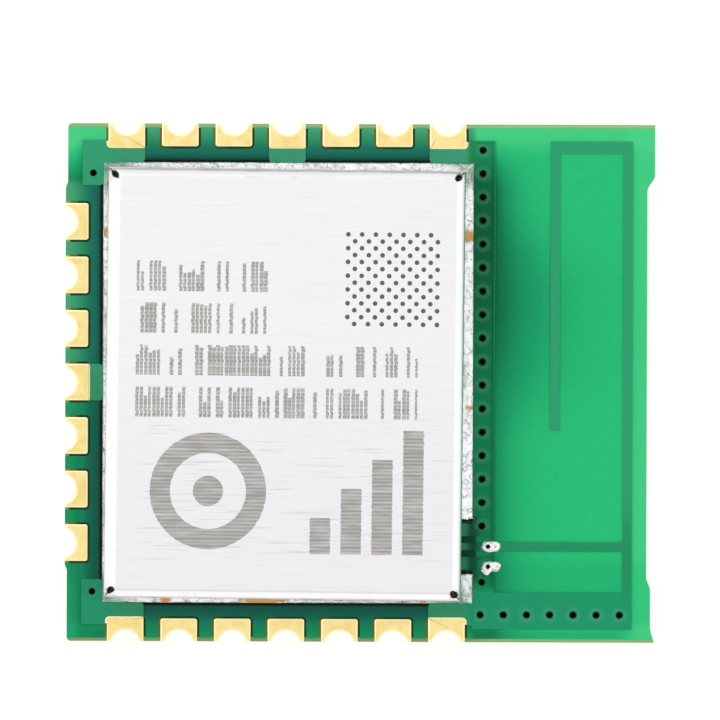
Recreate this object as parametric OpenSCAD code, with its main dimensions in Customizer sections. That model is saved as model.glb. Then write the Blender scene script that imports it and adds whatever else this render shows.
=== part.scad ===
// Castellated radio module: a laminate board with plated edge terminals, a printed
// antenna at one end, and a folded shield can over the radio parts.
// Millimetres. The origin is the middle of the underside, +X points to the antenna
// end, +Y across the board and +Z out of the top of the shield can.

/* [Board] */
// Length of the board, from the side terminals to the antenna end
board_l = 16.5; // [16:0.1:20]
// Width of the board
board_w = 14.5; // [14:0.1:18]
// Thickness of the bare laminate
core_t = 0.7; // [0.4:0.05:1.2]
// Radius of the two corners at the terminal end
corner_r = 0.11; // [0.05:0.01:0.3]
// Depth of the two corner blocks behind the row of side terminals
corner_setback = 0.06; // [0.02:0.01:0.1]
// Distance from the last side terminal to the upper corner block
block_top = 0.93; // [0.6:0.01:1.2]
// Distance from the last side terminal to the lower corner block
block_foot = 0.58; // [0.58:0.01:1.2]
// Length of the slope from a corner block to the row of side terminals
jog_l = 0.2; // [0.1:0.01:0.4]
// Depth of the long recess in the antenna end
recess_d = 0.21; // [0.1:0.01:0.4]
// Depth of the step at the lower end of that recess
step_d = 0.1; // [0.05:0.01:0.2]
// Distance from the lower long edge to that step
step_in = 0.5; // [0.4:0.01:0.8]
// Length of that step
step_l = 0.95; // [0.5:0.01:1.5]
// Length of the full-width nose at the upper end of the recess
nose_l = 1.4; // [0.8:0.1:3]
// Length of the slope from the nose into the recess
ramp_l = 0.45; // [0.2:0.05:1]
// Length of the full-width foot below the step
foot_l = 0.05; // [0.02:0.01:0.3]

/* [Copper and mask] */
// Thickness of the copper foil
copper_t = 0.035; // [0.03:0.005:0.07]
// Thickness of the solder mask over the foil
mask_t = 0.025; // [0.02:0.005:0.04]
// Bare strip left between the mask and the long edges
mask_pullback = 0.1; // [0.05:0.01:0.2]
// Bare ring between a land and the mask
mask_gap = 0.06; // [0.04:0.01:0.1]
// Gap in the foil between a land and the ground copper
copper_gap = 0.15; // [0.1:0.01:0.2]
// Width of the ground copper that ties a terminal to the shield
tie_w = 0.98; // [0.95:0.01:1.1]
// Distance from the board's edges to the ground copper
pour_inset = 0.49; // [0.3:0.01:0.6]
// How far the ground copper of a corner reaches down beside the can
pour_reach = 0.63; // [0.4:0.01:1]

/* [Terminals] */
// Distance between two terminals of a row
pitch = 1.5; // [1.4:0.01:1.6]
// Number of terminals in each long row
row_n = 7; // [3:1:7]
// Number of terminals in the side row
side_n = 7; // [3:1:7]
// Distance from the side edge to the first terminal of a long row
row_start = 1.7; // [1.6:0.05:2]
// Radius of the drill that leaves a half hole in the edge
notch_r = 0.45; // [0.3:0.01:0.46]
// Distance from the edge out to the centre of that drill
notch_out = 0.1; // [0:0.01:0.15]
// Thickness of the plating in the half hole
plating_t = 0.035; // [0.02:0.005:0.05]
// Width of a terminal's land
land_w = 1.03; // [0.93:0.01:1.1]
// Depth of a terminal's land
land_d = 0.64; // [0.55:0.01:0.75]
// Radius of the land's inner corners
land_r = 0.07; // [0.03:0.01:0.15]

/* [Shield can] */
// Distance from the can to each long edge of the board
can_margin = 1.25; // [1.1:0.01:1.5]
// Height of the can
can_h = 1.6; // [1.4:0.05:2.4]
// Thickness of the sheet
sheet_t = 0.15; // [0.1:0.01:0.2]
// Outer radius of the folds
fold_r = 0.27; // [0.22:0.01:0.5]
// Radius of the relief hole where two folds meet
relief_r = 0.08; // [0.05:0.01:0.12]
// Distance from the can's sides to the centre of the relief hole
relief_in = 0.22; // [0.18:0.01:0.3]
// Width of the open seam at each upright corner
seam_w = 0.03; // [0.02:0.005:0.06]
// Width of the gate in the wall over the radio line
gate_w = 1.4; // [1.2:0.05:1.6]
// Height of that gate
gate_h = 0.5; // [0.3:0.05:0.7]
// Radius of the gate's upper corners
gate_r = 0.15; // [0.05:0.01:0.25]
// Width of the shield's land outside the can's short walls
land_out_x = 0.215; // [0.15:0.005:0.3]
// Width of the shield's land outside the can's long walls
land_out_y = 0.17; // [0.1:0.005:0.3]
// How far the can sits off the middle of its land
can_shift = 0.04; // [0:0.01:0.1]
// Width of the shield's land inside the can
land_in = 0.2; // [0.15:0.01:0.3]
// Distance from the gate's sides to the ends of the land
gate_margin = 0.08; // [0.05:0.01:0.12]

/* [Vias] */
// Radius of a drilled via
via_r = 0.1; // [0.08:0.01:0.12]
// Thickness of a via's plating
barrel_t = 0.02; // [0.015:0.005:0.03]
// Distance from the can to the fence of vias beside it
fence_out = 0.5; // [0.4:0.01:0.55]
// Distance from the fence to the end of the ground copper
fence_skirt = 0.33; // [0.3:0.01:0.5]
// Distance from the upper long edge to the first via of the fence
fence_top = 0.72; // [0.65:0.01:0.9]
// Distance between two vias of the fence
fence_pitch = 0.658; // [0.5:0.01:0.9]
// Free distance from the radio line to the fence
fence_clear = 0.5; // [0.5:0.01:0.6]
// Distance from the lower long edge to the row of vias in the ground strip
strip_via_y = 0.77; // [0.6:0.01:0.9]
// Distance between two vias of the ground strip
strip_pitch = 0.65; // [0.5:0.01:0.9]
// How far the first via of the ground strip lies behind the fence
strip_back = 0.04; // [0:0.01:0.1]
// Distance of the corner vias from the corners of the can
corner_via_in = 0.14; // [0.05:0.01:0.3]

/* [Antenna] */
// Distance from the antenna end to the middle of the shorting leg
leg_inset = 0.75; // [0.6:0.01:0.8]
// Distance from the ground copper to the open leg
tail_clear = 1.6; // [1.2:0.01:2.4]
// Width of the legs and the feed line
leg_w = 0.21; // [0.15:0.01:0.4]
// Length of the open leg below the top bar
tail_l = 7.75; // [6:0.05:10]
// Distance from the upper long edge to the middle of the top bar
bar_inset = 0.64; // [0.5:0.01:0.7]
// Width of the top bar
bar_w = 0.29; // [0.2:0.01:0.4]
// Width of the ground strip below the antenna
strip_w = 0.98; // [0.9:0.01:1.2]
// Distance from the lower long edge to the ground strip
strip_inset = 0.39; // [0.3:0.01:0.45]
// Distance from the lower long edge to the feed line
feed_inset = 2.68; // [2.6:0.01:3]

/* [Radio line] */
// Width of the line from the filter to the tuning lands
line_w = 0.15; // [0.1:0.01:0.2]
// Gap between that line and the ground copper
line_gap = 0.24; // [0.15:0.01:0.25]
// Length of each of the two tuning lands
tune_l = 0.52; // [0.45:0.01:0.6]
// Width of each tuning land
tune_w = 0.28; // [0.26:0.01:0.32]
// Distance between the middles of the tuning lands
tune_pitch = 0.56; // [0.5:0.01:0.65]
// Height of the solder on a tuning land
tune_solder_h = 0.09; // [0.05:0.01:0.12]

/* [Parts under the can] */
// Distance from the can's middle to the middle of the radio chip
chip_off = 1.2; // [0.8:0.1:1.5]
// Distance of the radio chip from the board's long axis
chip_y = 0.9; // [0.5:0.1:1.2]
// Width of the radio chip
chip_w = 2.87; // [2.4:0.01:3.2]
// Length of the radio chip
chip_l = 4.87; // [4.2:0.01:5.2]
// Thickness of the radio chip
chip_t = 0.33; // [0.2:0.01:0.6]
// Distance between two solder balls
ball_pitch = 0.4; // [0.35:0.01:0.6]
// Radius of a solder ball
ball_r = 0.13; // [0.1:0.01:0.15]
// Height of a solder ball once soldered
ball_h = 0.19; // [0.15:0.01:0.2]
// Radius of the land under a ball
ball_land_r = 0.1; // [0.09:0.005:0.11]
// Length of the crystal
crystal_l = 2; // [1.6:0.1:2.4]
// Width of the crystal
crystal_w = 1.6; // [1.2:0.1:2]
// Thickness of the crystal's ceramic base
crystal_t = 0.35; // [0.3:0.01:0.5]
// Thickness of the crystal's metal lid
lid_t = 0.1; // [0.05:0.01:0.15]
// Margin of the base around the lid
lid_margin = 0.1; // [0.05:0.01:0.2]
// Length of the power choke
choke_l = 2; // [1.6:0.1:2.2]
// Width of the power choke
choke_w = 1.6; // [1.2:0.1:1.8]
// Height of the power choke
choke_h = 1; // [0.6:0.05:1.1]
// Length of the band filter
filter_l = 1.6; // [1.4:0.1:1.8]
// Width of the band filter
filter_w = 0.8; // [0.6:0.1:1.2]
// Height of the band filter
filter_h = 0.6; // [0.4:0.05:0.8]
// Distance from the can's wall to the band filter
filter_in = 0.9; // [0.7:0.1:1.4]
// Length of the small chip parts
small_l = 1; // [0.9:0.05:1.1]
// Width of the small chip parts
small_w = 0.5; // [0.4:0.05:0.6]
// Height of a capacitor
capacitor_h = 0.5; // [0.4:0.05:0.6]
// Height of a resistor
resistor_h = 0.35; // [0.3:0.05:0.4]
// Length of the metal on each end of a chip part
end_l = 0.25; // [0.2:0.01:0.3]
// Thickness of the metal on the ends
end_t = 0.03; // [0.02:0.005:0.04]
// How far a land reaches past a part's end
toe = 0.1; // [0.05:0.01:0.15]
// Clearance between neighbouring parts
part_gap = 0.55; // [0.45:0.05:0.65]

/* [Hidden] */
$fn = 48;
ease_n = 8;
eps = 0.01;
FRONT = 1;
BACK = -1;

// Levels from the underside up
core_z = mask_t + copper_t;
top_z = core_z + core_t;
seat_z = top_z + copper_t;
mask_z = seat_z + mask_t;
plane_z = core_z - copper_t;

// The can spans the long rows of terminals, from the first half hole's land to the last
edge_x = board_l / 2;
edge_y = board_w / 2;
row_l = (row_n - 1) * pitch;
first_x = row_start - edge_x;
can_l = row_l + land_w - 2 * plating_t;
can_w = board_w - 2 * can_margin;
can_x = first_x + row_l / 2;
can_left = can_x - can_l / 2;
can_right = can_x + can_l / 2;
frame_x = can_x + can_shift;
frame_l = can_l + 2 * land_out_x;
frame_w = can_w + 2 * land_out_y;

// Ground copper, antenna and radio line
corner_x = pour_inset - edge_x;
corner_y = edge_y - pour_inset;
feed_y = feed_inset - edge_y;
fence_x = can_right + fence_out;
ground_x = fence_x + fence_skirt;
strip_y = strip_inset - edge_y;
strip_top_y = strip_y + strip_w;
leg_x = edge_x - leg_inset;
leg_end_x = leg_x + leg_w / 2;
tail_x = ground_x + tail_clear + leg_w / 2;
bar_y = edge_y - bar_inset;
gate_gap = gate_w + 2 * gate_margin;
tune_x = fence_x;
tune_via_x = tune_x + tune_w / 2;

// Terminals run anticlockwise from the antenna end of the upper long row
terminal_n = 2 * row_n + side_n;

function on_upper(i) = i <= row_n;
function on_side(i) = i > row_n && i <= row_n + side_n;

// Place of terminal i as [x, y, turn]; the turn points its own +Y out of the edge
function terminal_at(i) =
    on_upper(i) ? [first_x + (row_n - i) * pitch, edge_y, 0]
    : on_side(i) ? [-edge_x, ((side_n + 1) / 2 - (i - row_n)) * pitch, 90]
    : [first_x + (i - row_n - side_n - 1) * pitch, -edge_y, 180];

// The ends and middle of the upper row, the middle of the side row and the ends
// of the lower row carry ground
function is_ground(i) =
    on_upper(i) ? i == 1 || i == (row_n + 1) / 2 || i == row_n
    : on_side(i) ? i - row_n == (side_n + 1) / 2
    : i == row_n + side_n + 1 || i == terminal_n;

// Via places: the fence, the ground strip, the two corners and the tuning lands
fence_top_y = edge_y - fence_top;
fence_n = floor((fence_top_y - feed_y - fence_clear) / fence_pitch) + 1;
strip_n = floor((leg_end_x - fence_x) / strip_pitch) + 1;
corner_via_x = (corner_x + frame_x - frame_l / 2) / 2;
VIAS = concat(
    [for (i = [0:fence_n - 1]) [fence_x, fence_top_y - i * fence_pitch]],
    [[fence_x, feed_y - 2 * fence_clear]],
    [for (i = [0:strip_n - 1]) [fence_x - strip_back + i * strip_pitch, strip_via_y - edge_y]],
    [for (s = [-1, 1]) [corner_via_x, s * (can_w / 2 - corner_via_in)]],
    [for (i = [0, 1]) [tune_via_x, feed_y - i * tune_pitch]]
);

// Places of the parts under the can, each set off from the radio chip or the can
chip_x = can_x - chip_off;
chip_left = chip_x - chip_w / 2;
chip_top = chip_y + chip_l / 2;
ball_cols = floor((chip_w - 2 * ball_r) / ball_pitch);
ball_rows = floor((chip_l - 2 * ball_r) / ball_pitch);
BALLS = [for (c = [0:ball_cols - 1], r = [0:ball_rows - 1])
    [chip_x + (c - (ball_cols - 1) / 2) * ball_pitch,
     chip_y + (r - (ball_rows - 1) / 2) * ball_pitch]];
small_pitch = small_w + part_gap;
crystal_x = chip_x + chip_w / 2 + 2 * part_gap + crystal_l / 2;
crystal_y = chip_y + chip_l / 4;
choke_x = chip_left - choke_l / 4;
choke_y = chip_y - chip_l / 2 - part_gap - choke_w / 2;
filter_x = can_right - sheet_t - filter_in - filter_l / 2;

// Two-ended parts as [x, y, turn, length, width, height]; a turn of 0 lies along X
CHOKE = [choke_x, choke_y, 0, choke_l, choke_w, choke_h];
FILTER = [filter_x, feed_y, 0, filter_l, filter_w, filter_h];
CAPACITORS = concat(
    [for (i = [0:4]) [chip_left + i * small_pitch, chip_top + part_gap + small_l / 2, 90,
                      small_l, small_w, capacitor_h]],
    [for (i = [0:4]) [chip_left - part_gap - small_l / 2, chip_y + (2 - i) * small_pitch + small_w, 0,
                      small_l, small_w, capacitor_h]]
);
RESISTORS = [for (i = [-1:1])
    [crystal_x + i * small_pitch, crystal_y - crystal_w / 2 - part_gap - small_l / 2, 90,
     small_l, small_w, resistor_h]];

function two_digits(i) = i < 10 ? str("0", i) : str(i);
function numbered(stem, n) = [for (i = [1:n]) str(stem, two_digits(i))];
TERMINAL_NODES = numbered("terminal_", terminal_n);
CAPACITOR_NODES = numbered("capacitor_", len(CAPACITORS));
RESISTOR_NODES = numbered("resistor_", len(RESISTORS));

// ---- flat shapes: g grows a shape by that much on every side ----

// Rectangle between two corners
module area(x0, y0, x1, y1, g = 0)
    translate([x0 - g, y0 - g]) square([x1 - x0 + 2 * g, y1 - y0 + 2 * g]);

// Rectangle about a centre
module pad_2d(x, y, l, w, g = 0) area(x - l / 2, y - w / 2, x + l / 2, y + w / 2, g);

// Puts a shape drawn on the upper side of the board onto the side that s names
module on_long_side(s) mirror([0, s < 0 ? 1 : 0]) children();

module at_terminal(i)
    translate([terminal_at(i)[0], terminal_at(i)[1]]) rotate(terminal_at(i)[2]) children();

module via_holes(r) for (v = VIAS) translate(v) circle(r);

// Land of one terminal, with its edge on y = 0 and its inner corners rounded
module terminal_land_2d(g = 0) {
    w = land_w + 2 * g;
    d = land_d + g;
    r = land_r + g;
    translate([-w / 2, r - d]) square([w, d - r]);
    translate([r - w / 2, -d]) square([w - 2 * r, 2 * r]);
    for (s = [-1, 1]) translate([s * (w / 2 - r), r - d]) circle(r);
}

// Whole bare metal of terminal i: a ground terminal's also takes in the ground
// copper that the ring in the mask lays open, and its land runs straight into that
module terminal_metal_2d(i) {
    at_terminal(i) terminal_land_2d();
    if (is_ground(i)) intersection() {
        at_terminal(i) terminal_land_2d(mask_gap);
        union() {
            ground_2d();
            at_terminal(i) area(-land_w / 2, -2 * land_d, land_w / 2, 0);
        }
    }
}

module signal_lands_2d(g)
    for (i = [1:terminal_n]) if (!is_ground(i)) at_terminal(i) terminal_land_2d(g);

module ground_lands_2d() for (i = [1:terminal_n]) if (is_ground(i)) terminal_metal_2d(i);

module notches_2d() for (i = [1:terminal_n]) at_terminal(i) translate([0, notch_out]) circle(notch_r);

// Points that lead from a to b along Y. A turn of 180 eases both ends of the way over
// and a turn of 90 only the first
function eased(a, b, turn) = [for (i = [0:ease_n])
    [a[0] + (b[0] - a[0]) * (1 - cos(turn * i / ease_n)) / (1 - cos(turn)),
     a[1] + (b[1] - a[1]) * i / ease_n]];

// Outline of the board with its stepped antenna end, before the terminals are drilled
module blank_2d() {
    left = corner_setback - edge_x;
    side_end = (side_n - 1) / 2 * pitch;
    jog_top = side_end + block_top;
    jog_foot = -side_end - block_foot;
    recess_x = edge_x - recess_d;
    step_x = edge_x - step_d;
    step_y = step_in - edge_y;
    difference() {
        polygon(concat(
            [[edge_x, edge_y]],
            eased([edge_x, edge_y - nose_l], [recess_x, edge_y - nose_l - ramp_l], 180),
            eased([recess_x, nose_l + ramp_l - edge_y], [step_x, step_y + step_l], 180),
            eased([step_x, step_y], [edge_x, foot_l - edge_y], 90),
            [[edge_x, -edge_y], [left, -edge_y]],
            eased([left, jog_foot - jog_l], [-edge_x, jog_foot], 180),
            eased([-edge_x, jog_top], [left, jog_top + jog_l], 180),
            [[left, edge_y]]
        ));
        for (s = [-1, 1]) on_long_side(s) difference() {
            area(left - eps, edge_y - corner_r, left + corner_r, edge_y + eps);
            translate([left + corner_r, edge_y - corner_r]) circle(corner_r);
        }
    }
}

// Frame under the can's wall, open where the radio line passes
module shield_frame_2d(g = 0) difference() {
    pad_2d(frame_x, 0, frame_l, frame_w, g);
    pad_2d(can_x, 0, can_l - 2 * (sheet_t + land_in), can_w - 2 * (sheet_t + land_in), -g);
    area(can_x, feed_y - gate_gap / 2, edge_x, feed_y + gate_gap / 2, -g);
}

// Ground copper of the upper face, before its clearances are cut
module ground_2d(g = 0) {
    frame_left = frame_x - frame_l / 2;
    frame_top = frame_w / 2;
    gate_half = gate_w / 2 - gate_margin;
    for (s = [-1, 1]) on_long_side(s) {
        area(corner_x, frame_top - pour_reach, frame_left, corner_y, g);
        area(corner_x, frame_top, first_x + tie_w / 2, corner_y, g);
        area(first_x + row_l - tie_w / 2, frame_top, ground_x, corner_y, g);
    }
    area(frame_x + frame_l / 2, strip_y, ground_x, corner_y, g);
    area(can_right - sheet_t, feed_y - gate_half, ground_x, feed_y + gate_half, g);
    area(ground_x - eps, strip_y, leg_end_x, strip_top_y, g);
    for (i = [1:terminal_n]) if (is_ground(i)) at_terminal(i)
        area(-tie_w / 2, on_side(i) ? -edge_x - frame_left : frame_top - edge_y, tie_w / 2, -land_d, g);
}

module line_2d(g = 0)
    area(filter_x + filter_l / 2 + toe, feed_y - line_w / 2, tune_x, feed_y + line_w / 2, g);

// The two tuning lands, with round ends
module tune_lands_2d(g = 0)
    for (i = [0, 1]) translate([tune_x, feed_y - i * tune_pitch]) {
        area(tune_w / 2, -tune_w / 2 - g, tune_l - tune_w / 2, tune_w / 2 + g);
        for (x = [tune_w / 2, tune_l - tune_w / 2]) translate([x, 0]) circle(tune_w / 2 + g);
    }

// Inverted-F antenna: open leg, top bar, shorting leg and feed
module antenna_2d(g = 0) {
    bar_top = bar_y + bar_w / 2;
    bar_foot = bar_y - bar_w / 2;
    area(tail_x - leg_w / 2, bar_foot - tail_l, tail_x + leg_w / 2, bar_top, g);
    area(tail_x - leg_w / 2, bar_foot, leg_end_x, bar_top, g);
    area(leg_end_x - leg_w, strip_top_y, leg_end_x, bar_top, g);
    area(tune_x + tune_l, feed_y - leg_w / 2, leg_end_x, feed_y + leg_w / 2, g);
}

// Ground copper of the upper face, clear of the signal lands and the radio line
module pour_2d(g = 0) difference() {
    ground_2d(g);
    ground_lands_2d();
    signal_lands_2d(copper_gap - g);
    shield_frame_2d();
    line_2d(line_gap - g);
    tune_lands_2d(copper_gap - g);
    area(ground_x - eps, feed_y - leg_w / 2 - copper_gap, edge_x, feed_y + leg_w / 2 + copper_gap, -g);
}

// Lands of every part under the can
module part_lands_2d(g = 0) {
    for (p = concat([CHOKE, FILTER], CAPACITORS, RESISTORS), s = [-1, 1])
        translate([p[0], p[1]]) rotate(p[2])
            pad_2d(s * (p[3] + toe - end_l) / 2, 0, end_l + toe, p[4], g);
    for (sx = [-1, 1], sy = [-1, 1])
        pad_2d(crystal_x + sx * crystal_l / 3, crystal_y + sy * crystal_w / 3,
               crystal_l / 4, crystal_w / 4, g);
    for (b = BALLS) translate(b) circle(ball_land_r + g / 2);
}

// Everything that the mask leaves bare, on the given face. The vias are open above
// and closed by the mask below
module mask_openings_2d(face) {
    notches_2d();
    for (i = [1:terminal_n]) at_terminal(i) terminal_land_2d(mask_gap);
    if (face == FRONT) {
        via_holes(via_r);
        shield_frame_2d();
        difference() {
            shield_frame_2d(mask_gap);
            ground_2d();
        }
        tune_lands_2d();
        part_lands_2d(mask_gap);
    }
}

module mask_area_2d() intersection() {
    blank_2d();
    area(-edge_x, mask_pullback - edge_y, edge_x, edge_y - mask_pullback);
}

// Ground plane of the underside, behind everything but the antenna
module plane_2d() difference() {
    union() {
        area(corner_x, strip_y, ground_x, corner_y);
        area(ground_x - eps, strip_y, leg_end_x, strip_top_y);
    }
    ground_lands_2d();
    signal_lands_2d(copper_gap);
    via_holes(via_r);
}

// ---- solids ----

module layer(z, t) translate([0, 0, z]) linear_extrude(t) children();

module board() color("#3fbf7f") layer(core_z, core_t) difference() {
    blank_2d();
    notches_2d();
    via_holes(via_r);
}

// The mask follows the copper: it lies on the laminate and climbs over each trace
module mask_top() color("#2f9e6a") difference() {
    union() {
        layer(top_z, mask_t) mask_area_2d();
        layer(top_z, copper_t + mask_t) intersection() {
            mask_area_2d();
            union() {
                pour_2d(mask_t);
                antenna_2d(mask_t);
                line_2d(mask_t);
            }
        }
    }
    layer(top_z - eps, copper_t + eps) {
        pour_2d();
        antenna_2d();
        line_2d();
    }
    layer(top_z - eps, copper_t + mask_t + 2 * eps) mask_openings_2d(FRONT);
}

module mask_bottom() color("#2a8f60") difference() {
    layer(0, core_z) mask_area_2d();
    layer(plane_z, copper_t + eps) {
        plane_2d();
        via_holes(via_r);
    }
    layer(-eps, core_z + 2 * eps) mask_openings_2d(BACK);
}

module ground_pour() color("#c98b52") layer(top_z, copper_t) difference() {
    pour_2d();
    via_holes(via_r);
}

module ground_plane() color("#c98b52") layer(plane_z, copper_t) plane_2d();

module antenna_trace() color("#c98b52") layer(top_z, copper_t) antenna_2d();

module radio_line() color("#c98b52") layer(top_z, copper_t) line_2d();

module via_barrels() color("#d9b36a") layer(plane_z, core_t + 2 * copper_t) difference() {
    via_holes(via_r);
    via_holes(via_r - barrel_t);
}

// Plated half hole with a land on each face
module terminal(i) color("#f6dc92") difference() {
    union() {
        layer(plane_z, copper_t) terminal_metal_2d(i);
        layer(top_z, copper_t) terminal_metal_2d(i);
        at_terminal(i) layer(core_z - eps, core_t + 2 * eps) intersection() {
            translate([0, notch_out]) circle(notch_r);
            area(-notch_r, -notch_r, notch_r, 0);
        }
    }
    at_terminal(i) layer(0, mask_z) translate([0, notch_out]) circle(notch_r - plating_t);
}

module shield_land() color("#e8c47a") layer(top_z, copper_t) shield_frame_2d();

// Upright section with its two upper corners rounded, standing on y = 0
module arch_2d(w, h, r) {
    area(-w / 2, 0, w / 2, h - r);
    area(r - w / 2, 0, w / 2 - r, h);
    for (s = [-1, 1]) translate([s * (w / 2 - r), h - r]) circle(r);
}

// Block whose four upper edges are rounded and meet in mitres
module folded_block(l, w, h, r) intersection() {
    rotate([90, 0, 0]) translate([0, 0, -w / 2]) linear_extrude(w) arch_2d(l, h, r);
    rotate([90, 0, 90]) translate([0, 0, -l / 2]) linear_extrude(l) arch_2d(w, h, r);
}

// Can folded from one sheet: four walls, mitred folds, a relief hole and an open seam
// at each corner, and a gate in the wall where the radio line leaves
module shield_can() color("#e4e5e8") translate([can_x, 0, seat_z]) difference() {
    folded_block(can_l, can_w, can_h, fold_r);
    translate([0, 0, -can_h])
        folded_block(can_l - 2 * sheet_t, can_w - 2 * sheet_t, 2 * can_h - sheet_t, fold_r - sheet_t);
    for (sx = [-1, 1], sy = [-1, 1])
        translate([sx * (can_l / 2 - relief_in), sy * (can_w / 2 - relief_in), 0]) {
            translate([0, 0, can_h / 2]) cylinder(h = can_h, r = relief_r);
            rotate(atan2(sy, sx)) translate([0, -seam_w / 2, -eps])
                cube([2 * relief_in, seam_w, can_h + 2 * eps]);
        }
    translate([can_l / 2 - 2 * sheet_t, feed_y, -gate_r])
        rotate([90, 0, 90]) linear_extrude(3 * sheet_t) arch_2d(gate_w, gate_h + gate_r, gate_r);
}

// Section of a solder fillet between the land (y = 0) and the wall (x = 0)
module fillet_2d(w) difference() {
    square(w);
    translate([w, w]) circle(0.9 * w);
}

// Fillet round the foot of the can, turned about each corner and open at the gate.
// It is as wide as the narrowest side of the land lets it be
module shield_solder() color("#dfe1e3") {
    w = min(land_out_x - can_shift, land_out_y);
    translate([can_x, 0, seat_z]) difference() {
        for (turn = [0, 180]) rotate(turn) {
            translate([can_l / 2, can_w / 2, 0]) rotate([90, 0, 0]) linear_extrude(can_w) fillet_2d(w);
            translate([-can_l / 2, can_w / 2, 0]) rotate([90, 0, 90]) linear_extrude(can_l) fillet_2d(w);
            translate([can_l / 2, can_w / 2, 0]) rotate_extrude(angle = 90) fillet_2d(w);
            translate([-can_l / 2, can_w / 2, 0]) rotate(90) rotate_extrude(angle = 90) fillet_2d(w);
        }
        translate([can_l / 2 - w, feed_y - gate_gap / 2, -eps]) cube([3 * w, gate_gap, 2 * w]);
    }
}

module tune_lands() color("#e8c47a") layer(top_z, copper_t) difference() {
    tune_lands_2d();
    via_holes(via_r);
}

// Long dome of solder on tuning land i, open over the land's via
module tune_solder(i) color("#d8dbdc") {
    w = tune_w - plating_t;
    r = (w * w / 4 + tune_solder_h * tune_solder_h) / (2 * tune_solder_h);
    ends = [tune_x + tune_w / 2, tune_x + tune_l - tune_w / 2];
    translate([0, feed_y - i * tune_pitch, 0]) difference() {
        intersection() {
            translate([0, 0, seat_z + tune_solder_h - r]) {
                translate([ends[0], 0, 0]) rotate([0, 90, 0]) cylinder(h = ends[1] - ends[0], r = r);
                for (x = ends) translate([x, 0, 0]) sphere(r);
            }
            layer(seat_z, 2 * tune_solder_h) {
                area(ends[0], -w / 2, ends[1], w / 2);
                for (x = ends) translate([x, 0]) circle(w / 2);
            }
        }
        layer(seat_z - eps, 3 * tune_solder_h) translate([tune_via_x, 0]) circle(via_r - barrel_t);
    }
}

module part_lands() color("#e8c47a") layer(top_z, copper_t) part_lands_2d();

module radio_chip() color("#3a3d42")
    layer(seat_z + ball_h, chip_t) pad_2d(chip_x, chip_y, chip_w, chip_l);

module chip_balls() color("#c9ccce") intersection() {
    for (b = BALLS) translate([b[0], b[1], seat_z + ball_h / 2]) sphere(ball_r);
    layer(seat_z, ball_h) pad_2d(chip_x, chip_y, chip_w, chip_l);
}

module crystal_base() color("#4a4640")
    layer(seat_z, crystal_t) pad_2d(crystal_x, crystal_y, crystal_l, crystal_w);

module crystal_lid() color("#d8d4c8")
    layer(seat_z + crystal_t, lid_t) pad_2d(crystal_x, crystal_y, crystal_l, crystal_w, -lid_margin);

// Body of a two-ended part p, held clear of the board by the metal on its ends
module chip_body(p) translate([p[0], p[1], seat_z + end_t]) rotate(p[2])
    linear_extrude(p[5] - 2 * end_t) pad_2d(0, 0, p[3], p[4], -end_t);

// The two metal caps that wrap the ends of part p
module chip_ends(p) translate([p[0], p[1], seat_z]) rotate(p[2]) difference() {
    for (s = [-1, 1]) translate([s * (p[3] - end_l) / 2, 0]) linear_extrude(p[5]) pad_2d(0, 0, end_l, p[4]);
    translate([0, 0, end_t]) linear_extrude(p[5] - 2 * end_t) pad_2d(0, 0, p[3], p[4], -end_t);
}

module capacitor(i) color("#b58a63") chip_body(CAPACITORS[i]);

module capacitor_ends() color("#c9ccce") for (p = CAPACITORS) chip_ends(p);

module resistor(i) color("#26282b") chip_body(RESISTORS[i]);

module resistor_ends() color("#c9ccce") for (p = RESISTORS) chip_ends(p);

board();
mask_top();
mask_bottom();
ground_pour();
ground_plane();
antenna_trace();
radio_line();
via_barrels();
shield_land();
shield_can();
shield_solder();
tune_lands();
tune_solder(0);  // tune_solder_1
tune_solder(1);  // tune_solder_2
part_lands();
radio_chip();
chip_balls();
crystal_base();
crystal_lid();
color("#4b4d50") chip_body(CHOKE);  // choke_core
color("#c9ccce") chip_ends(CHOKE);  // choke_ends
color("#8fa6b8") chip_body(FILTER);  // band_filter
color("#c9ccce") chip_ends(FILTER);  // filter_ends
capacitor_ends();
resistor_ends();
for (i = [1:terminal_n]) terminal(i);
for (i = [1:len(CAPACITORS)]) capacitor(i - 1);
for (i = [1:len(RESISTORS)]) resistor(i - 1);
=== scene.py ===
"""Looks of a castellated radio module.

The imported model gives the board, its copper and mask, the edge terminals, the shield
can and the parts under it. This script rebuilds what shows with finer forms, gives
every piece its finish, and lights it on a plain white floor. Sizes inside the classes
are in millimetres, and meshes are in metres.
"""

from __future__ import annotations

import logging
import math
from dataclasses import dataclass, field
from enum import Enum
from typing import Any, Callable, Iterable, Union

import bmesh
import bpy
from mathutils import Matrix, Vector, noise

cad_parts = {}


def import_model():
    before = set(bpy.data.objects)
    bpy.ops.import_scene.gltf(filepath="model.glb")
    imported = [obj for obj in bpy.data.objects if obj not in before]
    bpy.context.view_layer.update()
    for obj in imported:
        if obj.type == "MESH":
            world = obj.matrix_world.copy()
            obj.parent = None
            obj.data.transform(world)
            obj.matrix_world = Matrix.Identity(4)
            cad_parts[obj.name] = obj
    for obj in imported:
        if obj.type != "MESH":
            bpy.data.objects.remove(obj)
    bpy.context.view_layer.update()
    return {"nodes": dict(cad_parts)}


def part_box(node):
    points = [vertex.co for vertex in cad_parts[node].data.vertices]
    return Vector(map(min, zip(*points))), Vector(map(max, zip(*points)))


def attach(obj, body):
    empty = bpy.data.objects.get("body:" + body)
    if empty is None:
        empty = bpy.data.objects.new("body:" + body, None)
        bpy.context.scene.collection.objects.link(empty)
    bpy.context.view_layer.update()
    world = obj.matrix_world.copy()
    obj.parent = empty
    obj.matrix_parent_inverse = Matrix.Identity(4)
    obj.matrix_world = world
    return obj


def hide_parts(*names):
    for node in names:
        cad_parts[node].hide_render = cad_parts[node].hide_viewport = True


LOG = logging.getLogger("radio_module")
MM = 0.001
BODY = "root"

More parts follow.
